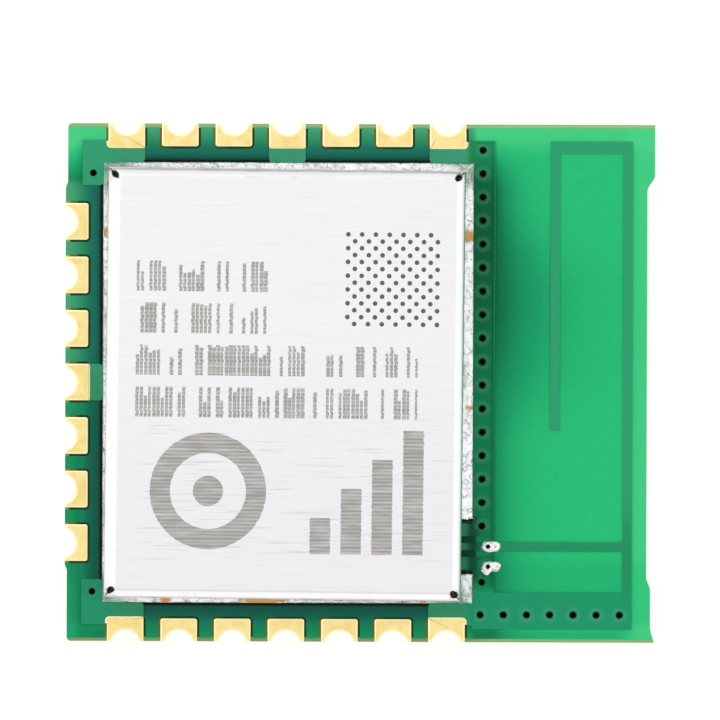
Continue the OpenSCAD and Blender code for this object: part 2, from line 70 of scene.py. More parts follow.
Colour = tuple[float, float, float]
Stops = tuple[tuple[float, Colour], ...]
Form = bmesh.types.BMesh


def tone(red: float, green: float, blue: float) -> Colour:
    """Turns a screen colour into the linear colour that a shader takes.

    Args:
        red: Red from 0 to 255.
        green: Green from 0 to 255.
        blue: Blue from 0 to 255.

    Returns:
        The linear colour.
    """
    def linear(part: float) -> float:
        """Turns one part of a screen colour linear."""
        share = part / 255
        return share / 12.92 if share <= 0.04045 else ((share + 0.055) / 1.055) ** 2.4

    return linear(red), linear(green), linear(blue)


def metres(x: float, y: float, z: float = 0.0) -> Vector:
    """Returns a place given in millimetres as a vector in metres."""
    return Vector((x, y, z)) * MM


class Face(Enum):
    """The two faces of the board."""

    UPPER = "upper"
    LOWER = "lower"


# ---- shader tools ----


def maths_step(operation: str, turned: bool = False) -> Callable[..., "Value"]:
    """Returns a method that joins a number and others with a Math node.

    Args:
        operation: The Math node's operation.
        turned: Whether the number comes after the others.
    """
    def step(value: "Value", *others: "Number") -> "Value":
        """Adds the Math node."""
        numbers = (*others, value) if turned else (value, *others)
        return value.shader.maths(operation, *numbers)

    return step


class Value:
    """A number in a shader tree; arithmetic on it adds the Math nodes."""

    __add__ = __radd__ = maths_step("ADD")
    __mul__ = __rmul__ = maths_step("MULTIPLY")
    __sub__ = maths_step("SUBTRACT")
    __rsub__ = maths_step("SUBTRACT", turned=True)
    __truediv__ = maths_step("DIVIDE")
    __gt__ = maths_step("GREATER_THAN")
    __lt__ = maths_step("LESS_THAN")
    __abs__ = maths_step("ABSOLUTE")
    floor = maths_step("FLOOR")
    part = maths_step("FRACT")
    least = maths_step("MINIMUM")
    most = maths_step("MAXIMUM")
    root = maths_step("SQRT")
    power_of_e = maths_step("EXPONENT")

    def __init__(self, shader: "Shader", socket: bpy.types.NodeSocket) -> None:
        """Wraps a socket of the shader's tree."""
        self.shader = shader
        self.socket = socket

    def ease(self, start: float, end: float) -> "Value":
        """Rises smoothly from 0 at start to 1 at end; start may be the larger one.

        Args:
            start: Where the result is 0.
            end: Where the result is 1.

        Returns:
            The eased number.
        """
        low, high = min(start, end), max(start, end)
        made = self.shader.node(
            "ShaderNodeMapRange",
            {"interpolation_type": "SMOOTHSTEP"},
            {"Value": self, "From Min": low, "From Max": high},
        )
        eased = Value(self.shader, made.outputs[0])
        return eased if start < end else 1 - eased


Number = Union[Value, float]
Tint = Union[bpy.types.NodeSocket, Colour]


class Shader:
    """A material's node tree, with one method for any node."""

    def __init__(self, name: str, world: bool = False) -> None:
        """Makes an empty material of that name, or an empty world."""
        self.material = (bpy.data.worlds if world else bpy.data.materials).new(name)
        self.material.use_nodes = True
        self.tree = self.material.node_tree
        self.tree.nodes.clear()

    def node(
        self,
        kind: str,
        settings: dict[str, Any] | None = None,
        inputs: dict[str | int, Any] | None = None,
    ) -> bpy.types.Node:
        """Adds a node.

        Args:
            kind: The node's type, such as "ShaderNodeMath".
            settings: What is set on the node before its sockets; "stops" fills a ramp.
            inputs: The values or links of its sockets, by name or place.

        Returns:
            The new node.
        """
        made = self.tree.nodes.new(kind)
        for name, value in (settings or {}).items():
            if name == "stops":
                self._fill_ramp(made.color_ramp, value)
            else:
                setattr(made, name, value)
        for place, value in (inputs or {}).items():
            self._feed(made.inputs[place], value)
        return made

    def _fill_ramp(self, ramp: bpy.types.ColorRamp, stops: Stops) -> None:
        """Sets a colour ramp's stops."""
        while len(ramp.elements) < len(stops):
            ramp.elements.new(1.0)
        for element, (place, colour) in zip(ramp.elements, stops):
            element.position = place
            element.color = (*colour, 1.0)

    def _feed(self, socket: bpy.types.NodeSocket, value: Any) -> None:
        """Links or sets one socket."""
        if isinstance(value, Value):
            value = value.socket
        if isinstance(value, bpy.types.NodeSocket):
            self.tree.links.new(value, socket)
        elif isinstance(value, tuple) and len(value) == 3 and socket.type == "RGBA":
            socket.default_value = (*value, 1.0)
        else:
            socket.default_value = value

    def maths(self, operation: str, *values: Number) -> Value:
        """Adds a Math node on up to three numbers."""
        made = self.node("ShaderNodeMath", {"operation": operation}, dict(enumerate(values)))
        return Value(self, made.outputs[0])

    def place(self) -> tuple[Value, Value, Value]:
        """Returns the object's own x, y and z, in millimetres."""
        split = self.node("ShaderNodeSeparateXYZ", inputs={0: self.spot()})
        return tuple(Value(self, socket) for socket in split.outputs)

    def spot(self, stretch: tuple[float, float, float] = (1, 1, 1)) -> bpy.types.NodeSocket:
        """Returns the object's own coordinates in millimetres, stretched on each axis."""
        origin = self.node("ShaderNodeTexCoord").outputs["Object"]
        scale = tuple(part / MM for part in stretch)
        made = self.node("ShaderNodeVectorMath", {"operation": "MULTIPLY"}, {0: origin, 1: scale})
        return made.outputs[0]

    def point(self, x: Number, y: Number, z: Number = 0.0) -> bpy.types.NodeSocket:
        """Joins three numbers to a point."""
        return self.node("ShaderNodeCombineXYZ", inputs={0: x, 1: y, 2: z}).outputs[0]

    def grain(self, where: bpy.types.NodeSocket, scale: float, detail: float = 2.0) -> Value:
        """Returns cloudy noise about 0.5, with that many clouds to the millimetre."""
        inputs = {"Vector": where, "Scale": scale, "Detail": detail}
        made = self.node("ShaderNodeTexNoise", inputs=inputs)
        return Value(self, made.outputs[0])

    def chance(self, x: Number, y: Number) -> Value:
        """Returns a steady random number from 0 to 1 for each pair of whole numbers."""
        inputs = {"Vector": self.point(x, y)}
        made = self.node("ShaderNodeTexWhiteNoise", {"noise_dimensions": "2D"}, inputs)
        return Value(self, made.outputs["Value"])

    def attribute(self, name: str) -> Value:
        """Returns a number that the mesh carries at its points."""
        made = self.node("ShaderNodeAttribute", {"attribute_name": name})
        return Value(self, made.outputs["Fac"])

    def mix(self, share: Number, first: Tint, second: Tint) -> bpy.types.NodeSocket:
        """Mixes two colours: share 0 gives the first and 1 the second."""
        made = self.node("ShaderNodeMix", {"data_type": "RGBA"}, {0: share, 6: first, 7: second})
        return made.outputs[2]

    def coats(self, colour: Tint, *coats: tuple[Number, Tint]) -> Tint:
        """Lays coats over a colour, the lowest first, each a share and its own colour."""
        for share, tint in coats:
            colour = self.mix(share, colour, tint)
        return colour

    def dim(self, colour: Tint, amount: Number) -> bpy.types.NodeSocket:
        """Scales a colour by a number."""
        inputs = {0: colour, "Scale": amount}
        made = self.node("ShaderNodeVectorMath", {"operation": "SCALE"}, inputs)
        return made.outputs[0]

    def ramp(self, value: Number, stops: Stops) -> bpy.types.NodeSocket:
        """Returns the colour that a ramp gives a number."""
        return self.node("ShaderNodeValToRGB", {"stops": stops}, {0: value}).outputs["Color"]

    def bump(self, height: Number, depth: float, strength: float = 1.0) -> bpy.types.NodeSocket:
        """Returns the normal of a surface raised by height times depth, in millimetres."""
        made = self.node(
            "ShaderNodeBump",
            inputs={"Height": height, "Distance": depth * MM, "Strength": strength},
        )
        return made.outputs["Normal"]

    def finish(self, **sockets: Any) -> bpy.types.Material:
        """Ends the tree in a Principled surface.

        Args:
            **sockets: Its sockets, with underscores for the spaces in their names.

        Returns:
            The finished material.
        """
        inputs = {name.replace("_", " "): value for name, value in sockets.items()}
        surface = self.node("ShaderNodeBsdfPrincipled", inputs=inputs)
        self.node("ShaderNodeOutputMaterial", inputs={"Surface": surface.outputs[0]})
        return self.material


# ---- where things lie ----


@dataclass(frozen=True)
class Patch:
    """A flat rectangle in millimetres, seen from above."""

    left: float
    lower: float
    right: float
    upper: float

    @staticmethod
    def of(node: str, trim: float = 0.0) -> "Patch":
        """Returns the rectangle round a CAD node, made smaller by trim on each side."""
        low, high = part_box(node)
        return Patch(low.x / MM + trim, low.y / MM + trim, high.x / MM - trim, high.y / MM - trim)

    def middle(self) -> tuple[float, float]:
        """Returns the rectangle's middle."""
        return (self.left + self.right) / 2, (self.lower + self.upper) / 2

    def inside(self, x: Value, y: Value) -> Value:
        """Returns how far a point lies inside the rectangle, below 0 outside it."""
        return (x - self.left).least(self.right - x).least(y - self.lower).least(self.upper - y)

    def depth(self, x: float, y: float) -> float:
        """Returns how far a point of a mesh lies inside the rectangle."""
        return min(x - self.left, self.right - x, y - self.lower, self.upper - y)


@dataclass
class Layout:
    """Where the module's features lie, read from the frame, in millimetres."""

    skirt: float = 0.33
    strip: float = 0.98
    gate: float = 1.56
    fence_pitch: float = 0.658
    fence_drop: float = 0.72
    strip_pitch: float = 0.65
    strip_rise: float = 0.77
    strip_back: float = 0.04
    pitch: float = 1.5
    can_turn: float = -0.5
    can_slip_x: float = -0.045
    can_slip_y: float = -0.035
    board: Patch = field(init=False)
    can: Patch = field(init=False)
    land: Patch = field(init=False)
    plane: Patch = field(init=False)
    fence: float = field(init=False)
    feed: float = field(init=False)
    seat: float = field(init=False)
    top: float = field(init=False)

    def __post_init__(self) -> None:
        """Reads the places from the frame."""
        self.board = Patch.of("board")
        self.can = Patch.of("shield_can")
        self.land = Patch.of("shield_land")
        tuning = Patch.of("tune_lands")
        self.fence = tuning.left
        self.feed = Patch.of("radio_line").middle()[1]
        copper = Patch.of("ground_plane")
        self.plane = Patch(copper.left, copper.lower, self.fence + self.skirt, copper.upper)
        self.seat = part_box("shield_can")[0].z / MM
        self.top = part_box("shield_can")[1].z / MM

    def on_can(self, x: Number, y: Number) -> tuple[Number, Number]:
        """Returns where a place lies on the can, as if the can sat straight."""
        middle = self.can.middle()
        across = x - (middle[0] + self.can_slip_x)
        along = y - (middle[1] + self.can_slip_y)
        turn = math.radians(self.can_turn)
        cosine, sine = math.cos(turn), math.sin(turn)
        x, y = across * cosine + along * sine, along * cosine - across * sine
        return x + middle[0], y + middle[1]

    def set_down(self, form: Form, verts: Iterable[bmesh.types.BMVert]) -> None:
        """Turns and shifts points of a straight can to where the can really sits."""
        middle = self.can.middle()
        turn = Matrix.Rotation(math.radians(self.can_turn), 3, "Z")
        bmesh.ops.rotate(form, cent=metres(*middle), matrix=turn, verts=list(verts))
        bmesh.ops.translate(form, vec=metres(self.can_slip_x, self.can_slip_y), verts=list(verts))


# ---- finishes ----


@dataclass(frozen=True)
class MaskFinish:
    """Green solder mask: lit by painted light that comes through the bare laminate, deeper over
    copper, with painted shade near the can.
    """

    name: str
    layout: Layout
    face: Face
    # The mask over bare laminate, from full painted shade beside the copper to full painted light
    # coming through the board.
    clear: Stops = (
        (0.0, tone(1, 98, 54)),
        (0.25, tone(12, 131, 84)),
        (0.5, tone(24, 161, 104)),
        (0.75, tone(39, 194, 121)),
        (1.0, tone(74, 213, 136)),
    )
    # The mask between the terminals, by depth from the board's edge: partly its colour over the
    # inner copper, partly painted light that comes in through the laminate near the edge, darker
    # further in.
    upper_tooth: Stops = (
        (0.1, tone(74, 170, 120)),
        (0.23, tone(62, 162, 115)),
        (0.41, tone(46, 147, 98)),
        (0.59, tone(28, 125, 100)),
        (0.77, tone(24, 111, 93)),
        (0.9, tone(16, 82, 64)),
    )
    lower_tooth: Stops = (
        (0.1, tone(26, 150, 98)),
        (0.3, tone(14, 139, 89)),
        (0.45, tone(18, 134, 95)),
        (0.59, tone(16, 112, 83)),
        (0.75, tone(16, 97, 80)),
        (0.9, tone(26, 86, 72)),
    )
    tooth_depth: float = 1.1
    tie: Colour = tone(62, 158, 118)
    tie_low: Colour = tone(54, 148, 105)
    corner: Colour = tone(52, 163, 118)
    corner_low: Colour = tone(36, 148, 106)
    # The mask over the via column's copper, darkened by painted shade from the can: deepest near y
    # 4.2, lighter toward the top and the bottom.
    column: Colour = tone(2, 106, 62)
    column_top: Colour = tone(24, 136, 84)
    column_deepest_shade: Colour = tone(1, 96, 56)
    column_low: Colour = tone(12, 134, 88)
    bar: Colour = tone(48, 161, 111)
    feed: Colour = tone(35, 146, 96)
    strip: Colour = tone(29, 152, 106)
    gate: Colour = tone(14, 84, 58)
    # Painted shadow along the copper pour's right edge.
    pour_edge_shadow: Colour = tone(1, 84, 46)
    shadow: Colour = tone(2, 34, 26)
    # Painted shade in each via hole and a painted highlight on the mask's lip round it.
    via: Colour = tone(0, 18, 10)
    via_lip_highlight: Colour = tone(96, 168, 140)
    lower_clear: Colour = tone(44, 176, 112)
    lower_rim: Colour = tone(80, 206, 136)
    lower_copper: Colour = tone(38, 138, 92)
    # Levels and reaches of the painted light through the bare laminate and of its painted shade
    # beside the copper plane.
    plain_level: float = 0.75
    dimmed: float = 0.42
    dimmed_more: float = 0.3
    short_reach: float = 0.45
    more_reach: float = 0.75
    off_row: float = 9.0

    def build(self) -> bpy.types.Material:
        """Makes the material."""
        shader = Shader(self.name)
        colour = self._upper(shader) if self.face is Face.UPPER else self._lower(shader)
        cloud = shader.grain(shader.spot(), 2.3, 4.0)
        weave = self._weave(shader)
        colour = shader.dim(colour, 0.95 + cloud * 0.07 + weave * 0.03)
        fine = shader.grain(shader.spot(), 9.0, 3.0)
        return shader.finish(
            Base_Color=colour,
            Roughness=0.34 + fine * 0.16,
            Specular_IOR_Level=0.08,
            Normal=shader.bump(fine + weave * 0.6, 0.004),
        )

    def _weave(self, shader: Shader) -> Value:
        """Returns the faint print-through of the glass cloth, from 0 to 1."""
        x, y, _ = shader.place()
        wander = shader.grain(shader.spot(), 1.4, 1.0) * 0.9
        warp = shader.maths("SINE", (x + wander) * 13.0)
        weft = shader.maths("SINE", (y - wander) * 15.0)
        return warp * weft * 0.5 + 0.5

    def _painted_backlight(self, shader: Shader, x: Value, y: Value) -> Value:
        """Returns the painted light where nothing lies under the mask, from 0 to 1: painted shade
        beside the copper plane that lifts away from it, painted glow toward the board's edges and
        darker bands near its lower edge.
        """
        layout = self.layout
        amount = y.ease(6.9, 5.2) * (self.dimmed + y.ease(-1.2, 2.5) * self.dimmed_more)
        reach = self.short_reach + y.ease(-2.0, 0.8) * y.ease(5.2, 2.4) * self.more_reach
        away = (x - layout.plane.right).most(0.0)
        light = self.plain_level - amount * (away * -1.0 / reach).power_of_e()
        light = light + x.ease(7.3, 7.9) * 0.17 + y.ease(6.3, 7.0) * 0.2
        light = light - y.ease(-4.7, -5.3) * y.ease(-6.9, -6.6) * 0.09
        light = light - y.ease(-6.9, -7.0) * x.ease(7.9, 6.9) * x.ease(-7.9, -7.0) * 0.12
        return light + x.ease(-7.75, -8.1) * 0.2

    def _upper(self, shader: Shader) -> bpy.types.NodeSocket:
        """Returns the colour of the upper face."""
        layout = self.layout
        x, y, z = shader.place()
        edge = layout.board.inside(x, y)
        clear = shader.ramp(self._painted_backlight(shader, x, y), self.clear)
        # Partly painted light: lighter toward the board's edge between the terminals.
        depth = edge / self.tooth_depth
        upper, lower = shader.ramp(depth, self.upper_tooth), shader.ramp(depth, self.lower_tooth)
        tooth = shader.mix(y.ease(1.5, -1.5), upper, lower)
        beside = abs(y).ease(5.7, 6.0) * x.ease(-6.95, -6.75) * x.ease(3.3, 3.1)
        flank = x.ease(-6.9, -7.1) * abs(y).ease(5.75, 5.45)
        bare = shader.mix(beside.most(flank), clear, tooth)
        copper = self._copper(shader, x, y)
        colour = shader.mix(z.ease(layout.seat - 0.005, layout.seat + 0.02), bare, copper)
        gap = -1 * layout.land.inside(x, y)
        over = z.ease(layout.seat + 0.02, layout.seat - 0.005)
        colour = shader.mix(gap.ease(0.13, 0.04) * over * 0.8, colour, self.shadow)
        # Painted shadow along the copper pour's right edge, beside the via column.
        skirt = abs(x - (layout.plane.right - 0.02)).ease(0.11, 0.0)
        skirt = skirt * y.ease(6.6, 6.0) * y.ease(-5.9, -5.6)
        colour = shader.mix(skirt * 0.45, colour, self.pour_edge_shadow)
        return self._vias(shader, colour, x, y)

    def _copper(self, shader: Shader, x: Value, y: Value) -> bpy.types.NodeSocket:
        """Returns the colour of the mask over copper, with painted shade from the can over the via
        column.
        """
        plane = self.layout.plane
        tie = shader.mix(y.ease(1.0, -1.0), self.tie, self.tie_low)
        corner = shader.mix(y.ease(1.0, -1.0), self.corner, self.corner_low)
        near = shader.mix(x.ease(-6.7, -7.0) * abs(y).ease(5.0, 5.6), tie, corner)
        # Painted shade from the can over the via column, lifting toward its top and bottom.
        column = shader.coats(
            self.column,
            (y.ease(5.4, 6.6), self.column_top),
            (abs(y - 4.2).ease(1.9, 0.6) * 0.8, self.column_deepest_shade),
            (y.ease(2.4, -1.0) * 0.7, self.column_low),
        )
        right = shader.coats(
            column,
            (x.ease(plane.right - 0.04, plane.right + 0.04),
             shader.mix(y.ease(-2.6, -5.0), self.bar, self.feed)),
            (y.ease(plane.lower + 1.3, plane.lower + 0.95), self.strip),
            (x.ease(3.45, 3.2) * abs(y + 4.6).ease(1.0, 0.8), self.gate),
        )
        return shader.mix(x.ease(2.9, 3.15), near, right)

    def _vias(self, shader: Shader, colour: Tint, x: Value, y: Value) -> bpy.types.NodeSocket:
        """Paints shade on the mask as it dips into each via, with a painted highlight on the lip
        round it.
        """
        layout = self.layout
        top = layout.board.upper - layout.fence_drop
        steps = ((y - top) / layout.fence_pitch + 0.5).part() - 0.5
        column = self._ring_distance(x - layout.fence, steps * layout.fence_pitch)
        column = column + y.ease(-4.1, -4.3) * self.off_row + y.ease(6.7, 6.8) * self.off_row
        start = layout.fence - layout.strip_back
        steps = ((x - start) / layout.strip_pitch + 0.5).part() - 0.5
        row_y = layout.board.lower + layout.strip_rise
        row = self._ring_distance(y - row_y, steps * layout.strip_pitch)
        row = row + x.ease(layout.fence - 0.2, layout.fence - 0.3) * self.off_row
        row = row + x.ease(7.6, 7.7) * self.off_row
        nearest = column.least(row)
        rough = shader.grain(shader.spot(), 7.0, 2.0) * 0.07 - 0.035
        # Painted highlight on the lip and painted shade in the hole.
        lip = nearest.ease(0.27, 0.15) * nearest.ease(0.09, 0.14)
        dip = (nearest + rough).ease(0.125, 0.08)
        return shader.coats(colour, (lip * 0.2, self.via_lip_highlight), (dip * 0.93, self.via))

    @staticmethod
    def _ring_distance(across: Value, along: Value) -> Value:
        """Returns the distance from a via's middle."""
        return (across * across + along * along).root()

    def _lower(self, shader: Shader) -> bpy.types.NodeSocket:
        """Returns the colour of the lower face."""
        layout = self.layout
        x, y, _ = shader.place()
        edge = layout.board.inside(x, y)
        clear = shader.mix(edge.ease(0.5, 0.1), self.lower_clear, self.lower_rim)
        over = layout.plane.inside(x, y).ease(-0.02, 0.04)
        low, high = layout.plane.lower, layout.plane.lower + layout.strip
        strip = y.ease(high + 0.03, high) * y.ease(low - 0.02, low + 0.03) * x.ease(7.66, 7.6)
        return shader.mix(over.most(strip * x.ease(3.0, 3.4)), clear, self.lower_copper)


@dataclass(frozen=True)
class LaminateFinish:
    """Glass-fibre laminate: pale at the cut edges and strips, with painted light and shade round
    the terminals and painted shade beside the can.
    """

    name: str
    layout: Layout
    strip: Colour = tone(150, 192, 128)
    strip_low: Colour = tone(126, 160, 102)
    # Painted light that comes through the bare board beside the antenna.
    strip_clear: Colour = tone(150, 214, 130)
    burr: Colour = tone(142, 166, 112)
    resin: Colour = tone(108, 150, 84)
    pale_resin: Colour = tone(186, 208, 150)
    glass: Colour = tone(214, 222, 186)
    # Round each terminal: painted light on the side toward the lamp and painted shadow on the far
    # sides.
    ring: Colour = tone(122, 112, 52)
    ring_shadow: Colour = tone(30, 66, 30)
    # Painted shade beside the can's land.
    dark: Colour = tone(3, 22, 16)
    row_x: float = -6.55
    column_y: float = 4.5

    def build(self) -> bpy.types.Material:
        """Makes the material."""
        shader = Shader(self.name)
        x, y, z = shader.place()
        edge = self.layout.board.inside(x, y)
        # The edge strip, lighter with painted light through the bare board beside the antenna.
        strip = shader.coats(
            self.strip,
            (y.ease(1.0, -1.0), self.strip_low),
            (x.ease(3.0, 3.8) * 0.5, self.strip_clear),
            (edge.ease(0.05, 0.0) * 0.8, self.burr),
        )
        # Painted shade beside the can's land, over the ring round the terminals.
        near_can = (-1 * self.layout.land.inside(x, y)).ease(0.16, 0.08)
        ring = shader.mix(near_can, self._ring(shader, x, y), self.dark)
        upper = shader.mix(edge.ease(0.1, 0.14), strip, ring)
        colour = shader.mix(z.ease(0.748, 0.758), self._cut(shader), upper)
        fine = shader.grain(shader.spot(), 14.0, 3.0)
        return shader.finish(
            Base_Color=colour,
            Roughness=0.62 + fine * 0.2,
            Specular_IOR_Level=0.2,
            Normal=shader.bump(fine, 0.006),
        )

    def _ring(self, shader: Shader, x: Value, y: Value) -> bpy.types.NodeSocket:
        """Returns the painted light and shade round a terminal: olive on the side that faces the
        light, painted shadow on the others.
        """
        pitch = self.layout.pitch
        row = (((x - self.row_x) / pitch + 0.5).part() - 0.5) * pitch
        column = (((y - self.column_y) / pitch + 0.5).part() - 0.5) * pitch
        side = x.ease(-7.05, -7.15) * abs(y).ease(5.8, 5.5)
        lit = shader.maths("MULTIPLY_ADD", side, column - row, row * -1.0)
        inner = self.layout.board.inside(x, y).ease(0.6, 0.66)
        return shader.mix(lit.ease(0.2, 0.4) * (1 - inner * 0.7), self.ring_shadow, self.ring)

    def _cut(self, shader: Shader) -> bpy.types.NodeSocket:
        """Returns the colour of a cut edge: layers of glass bundles in green resin."""
        layers = shader.grain(shader.spot((0.9, 0.9, 11.0)), 1.6, 3.0)
        bundles = shader.grain(shader.spot((3.0, 3.0, 7.0)), 1.2, 2.0)
        resin = shader.mix(layers.ease(0.38, 0.62), self.resin, self.pale_resin)
        return shader.mix(bundles.ease(0.56, 0.7) * 0.6, resin, self.glass)


@dataclass(frozen=True)
class GoldFinish:
    """Satin gold over copper, in clouds of a paler and a warmer gold."""

    name: str
    colour: Colour = tone(250, 232, 162)
    warm: Colour = tone(246, 217, 138)
    roughness: float = 0.34
    grain: float = 3.2

    def build(self) -> bpy.types.Material:
        """Makes the material."""
        shader = Shader(self.name)
        cloud = shader.grain(shader.spot(), self.grain, 4.0)
        fine = shader.grain(shader.spot(), 26.0, 2.0)
        colour = shader.mix(cloud.ease(0.35, 0.68), self.colour, self.warm)
        return shader.finish(
            Base_Color=shader.dim(colour, 0.96 + fine * 0.06),
            Metallic=0.82,
            Roughness=self.roughness + fine * 0.14,
            Normal=shader.bump(fine + cloud * 0.7, 0.004),
        )


@dataclass(frozen=True)
class GrainFinish:
    """A plain finish of two close colours in clouds, with a fine grain in its relief."""

    name: str
    light: Colour
    deep: Colour
    roughness: float = 0.5
    metallic: float = 0.0
    clouds: float = 3.0
    grain: float = 18.0
    relief: float = 0.004
    gloss: float = 0.5

    def build(self) -> bpy.types.Material:
        """Makes the material."""
        shader = Shader(self.name)
        cloud = shader.grain(shader.spot(), self.clouds, 4.0)
        fine = shader.grain(shader.spot(), self.grain, 3.0)
        return shader.finish(
            Base_Color=shader.mix(cloud.ease(0.3, 0.7), self.light, self.deep),
            Metallic=self.metallic,
            Roughness=self.roughness + (fine - 0.5) * 0.2,
            Specular_IOR_Level=self.gloss,
            Normal=shader.bump(fine, self.relief),
        )


@dataclass(frozen=True)
class Bars:
    """Four rows of upright strokes of chance length, with gaps: a plain filling."""

    left: float = -6.2
    upper: float = 3.4
    row_pitch: float = 1.17
    row_height: float = 0.84
    stroke_pitch: float = 0.118
    short_end: float = -2.55
    long_end: float = 1.65
    left_out: float = 0.38

    def mask(self, shader: Shader, x: Value, y: Value) -> Value:
        """Returns 1 on the strokes."""
        row = (self.upper - y) / self.row_pitch
        line = row.floor()
        down = row.part() * self.row_pitch
        step = (x - self.left) / self.stroke_pitch
        cell = step.floor()
        end = self.short_end + (line > 1.5) * (self.long_end - self.short_end)
        spread = (row > 0.0) * (row < 4.0) * (x > self.left) * (x < end)
        cut = (shader.chance(cell, line + 11.0) - 0.45).most(0.0) * 0.9
        tall = (down > cut * self.row_height) * (down < self.row_height)
        wide = step.part() < 0.62 + shader.chance(cell, line + 5.0) * 0.3
        return spread * tall * wide * (shader.chance(cell, line) > self.left_out)


@dataclass(frozen=True)
class DotPatch:
    """A plain square of dots in an even chequer: it encodes nothing."""

    left: float = -0.42
    upper: float = 4.29
    count: int = 14
    pitch: float = 0.192
    reach: float = 0.34

    def mask(self, shader: Shader, x: Value, y: Value) -> Value:
        """Returns 1 on the dots."""
        across = (x - self.left) / self.pitch
        down = (self.upper - y) / self.pitch
        last = float(self.count)
        field_ = (across > 0.0) * (across < last) * (down > 0.0) * (down < last)
        u = across.part() - 0.5
        v = down.part() - 0.5
        near = (u * u + v * v).root()
        even = ((across.floor() + down.floor()) * 0.5).part() < 0.25
        return field_ * (near < self.reach) * even


@dataclass(frozen=True)
class Emblems:
    """Two plain hatch-filled marks: a ring with a dot in it, and four rising bars."""

    ring: tuple[float, float] = (-4.15, -3.0)
    outer: float = 1.62
    inner: float = 1.06
    dot: float = 0.42
    bars_left: float = -1.3
    bars_lower: float = -4.72
    bar_pitch: float = 0.86
    bar_share: float = 0.66
    bar_first: float = 1.0
    bar_step: float = 0.82

    def mask(self, shader: Shader, x: Value, y: Value) -> Value:
        """Returns 1 on the marks."""
        across, along = x - self.ring[0], y - self.ring[1]
        reach = (across * across + along * along).root()
        ring = ((reach < self.outer) * (reach > self.inner)).most(reach < self.dot)
        step = (x - self.bars_left) / self.bar_pitch
        rise = y - self.bars_lower
        height = self.bar_first + step.floor() * self.bar_step
        bars = (step > 0.0) * (step < 4.0) * (step.part() < self.bar_share)
        bars = bars * (rise > 0.0) * (rise < height)
        return ring.most(bars)


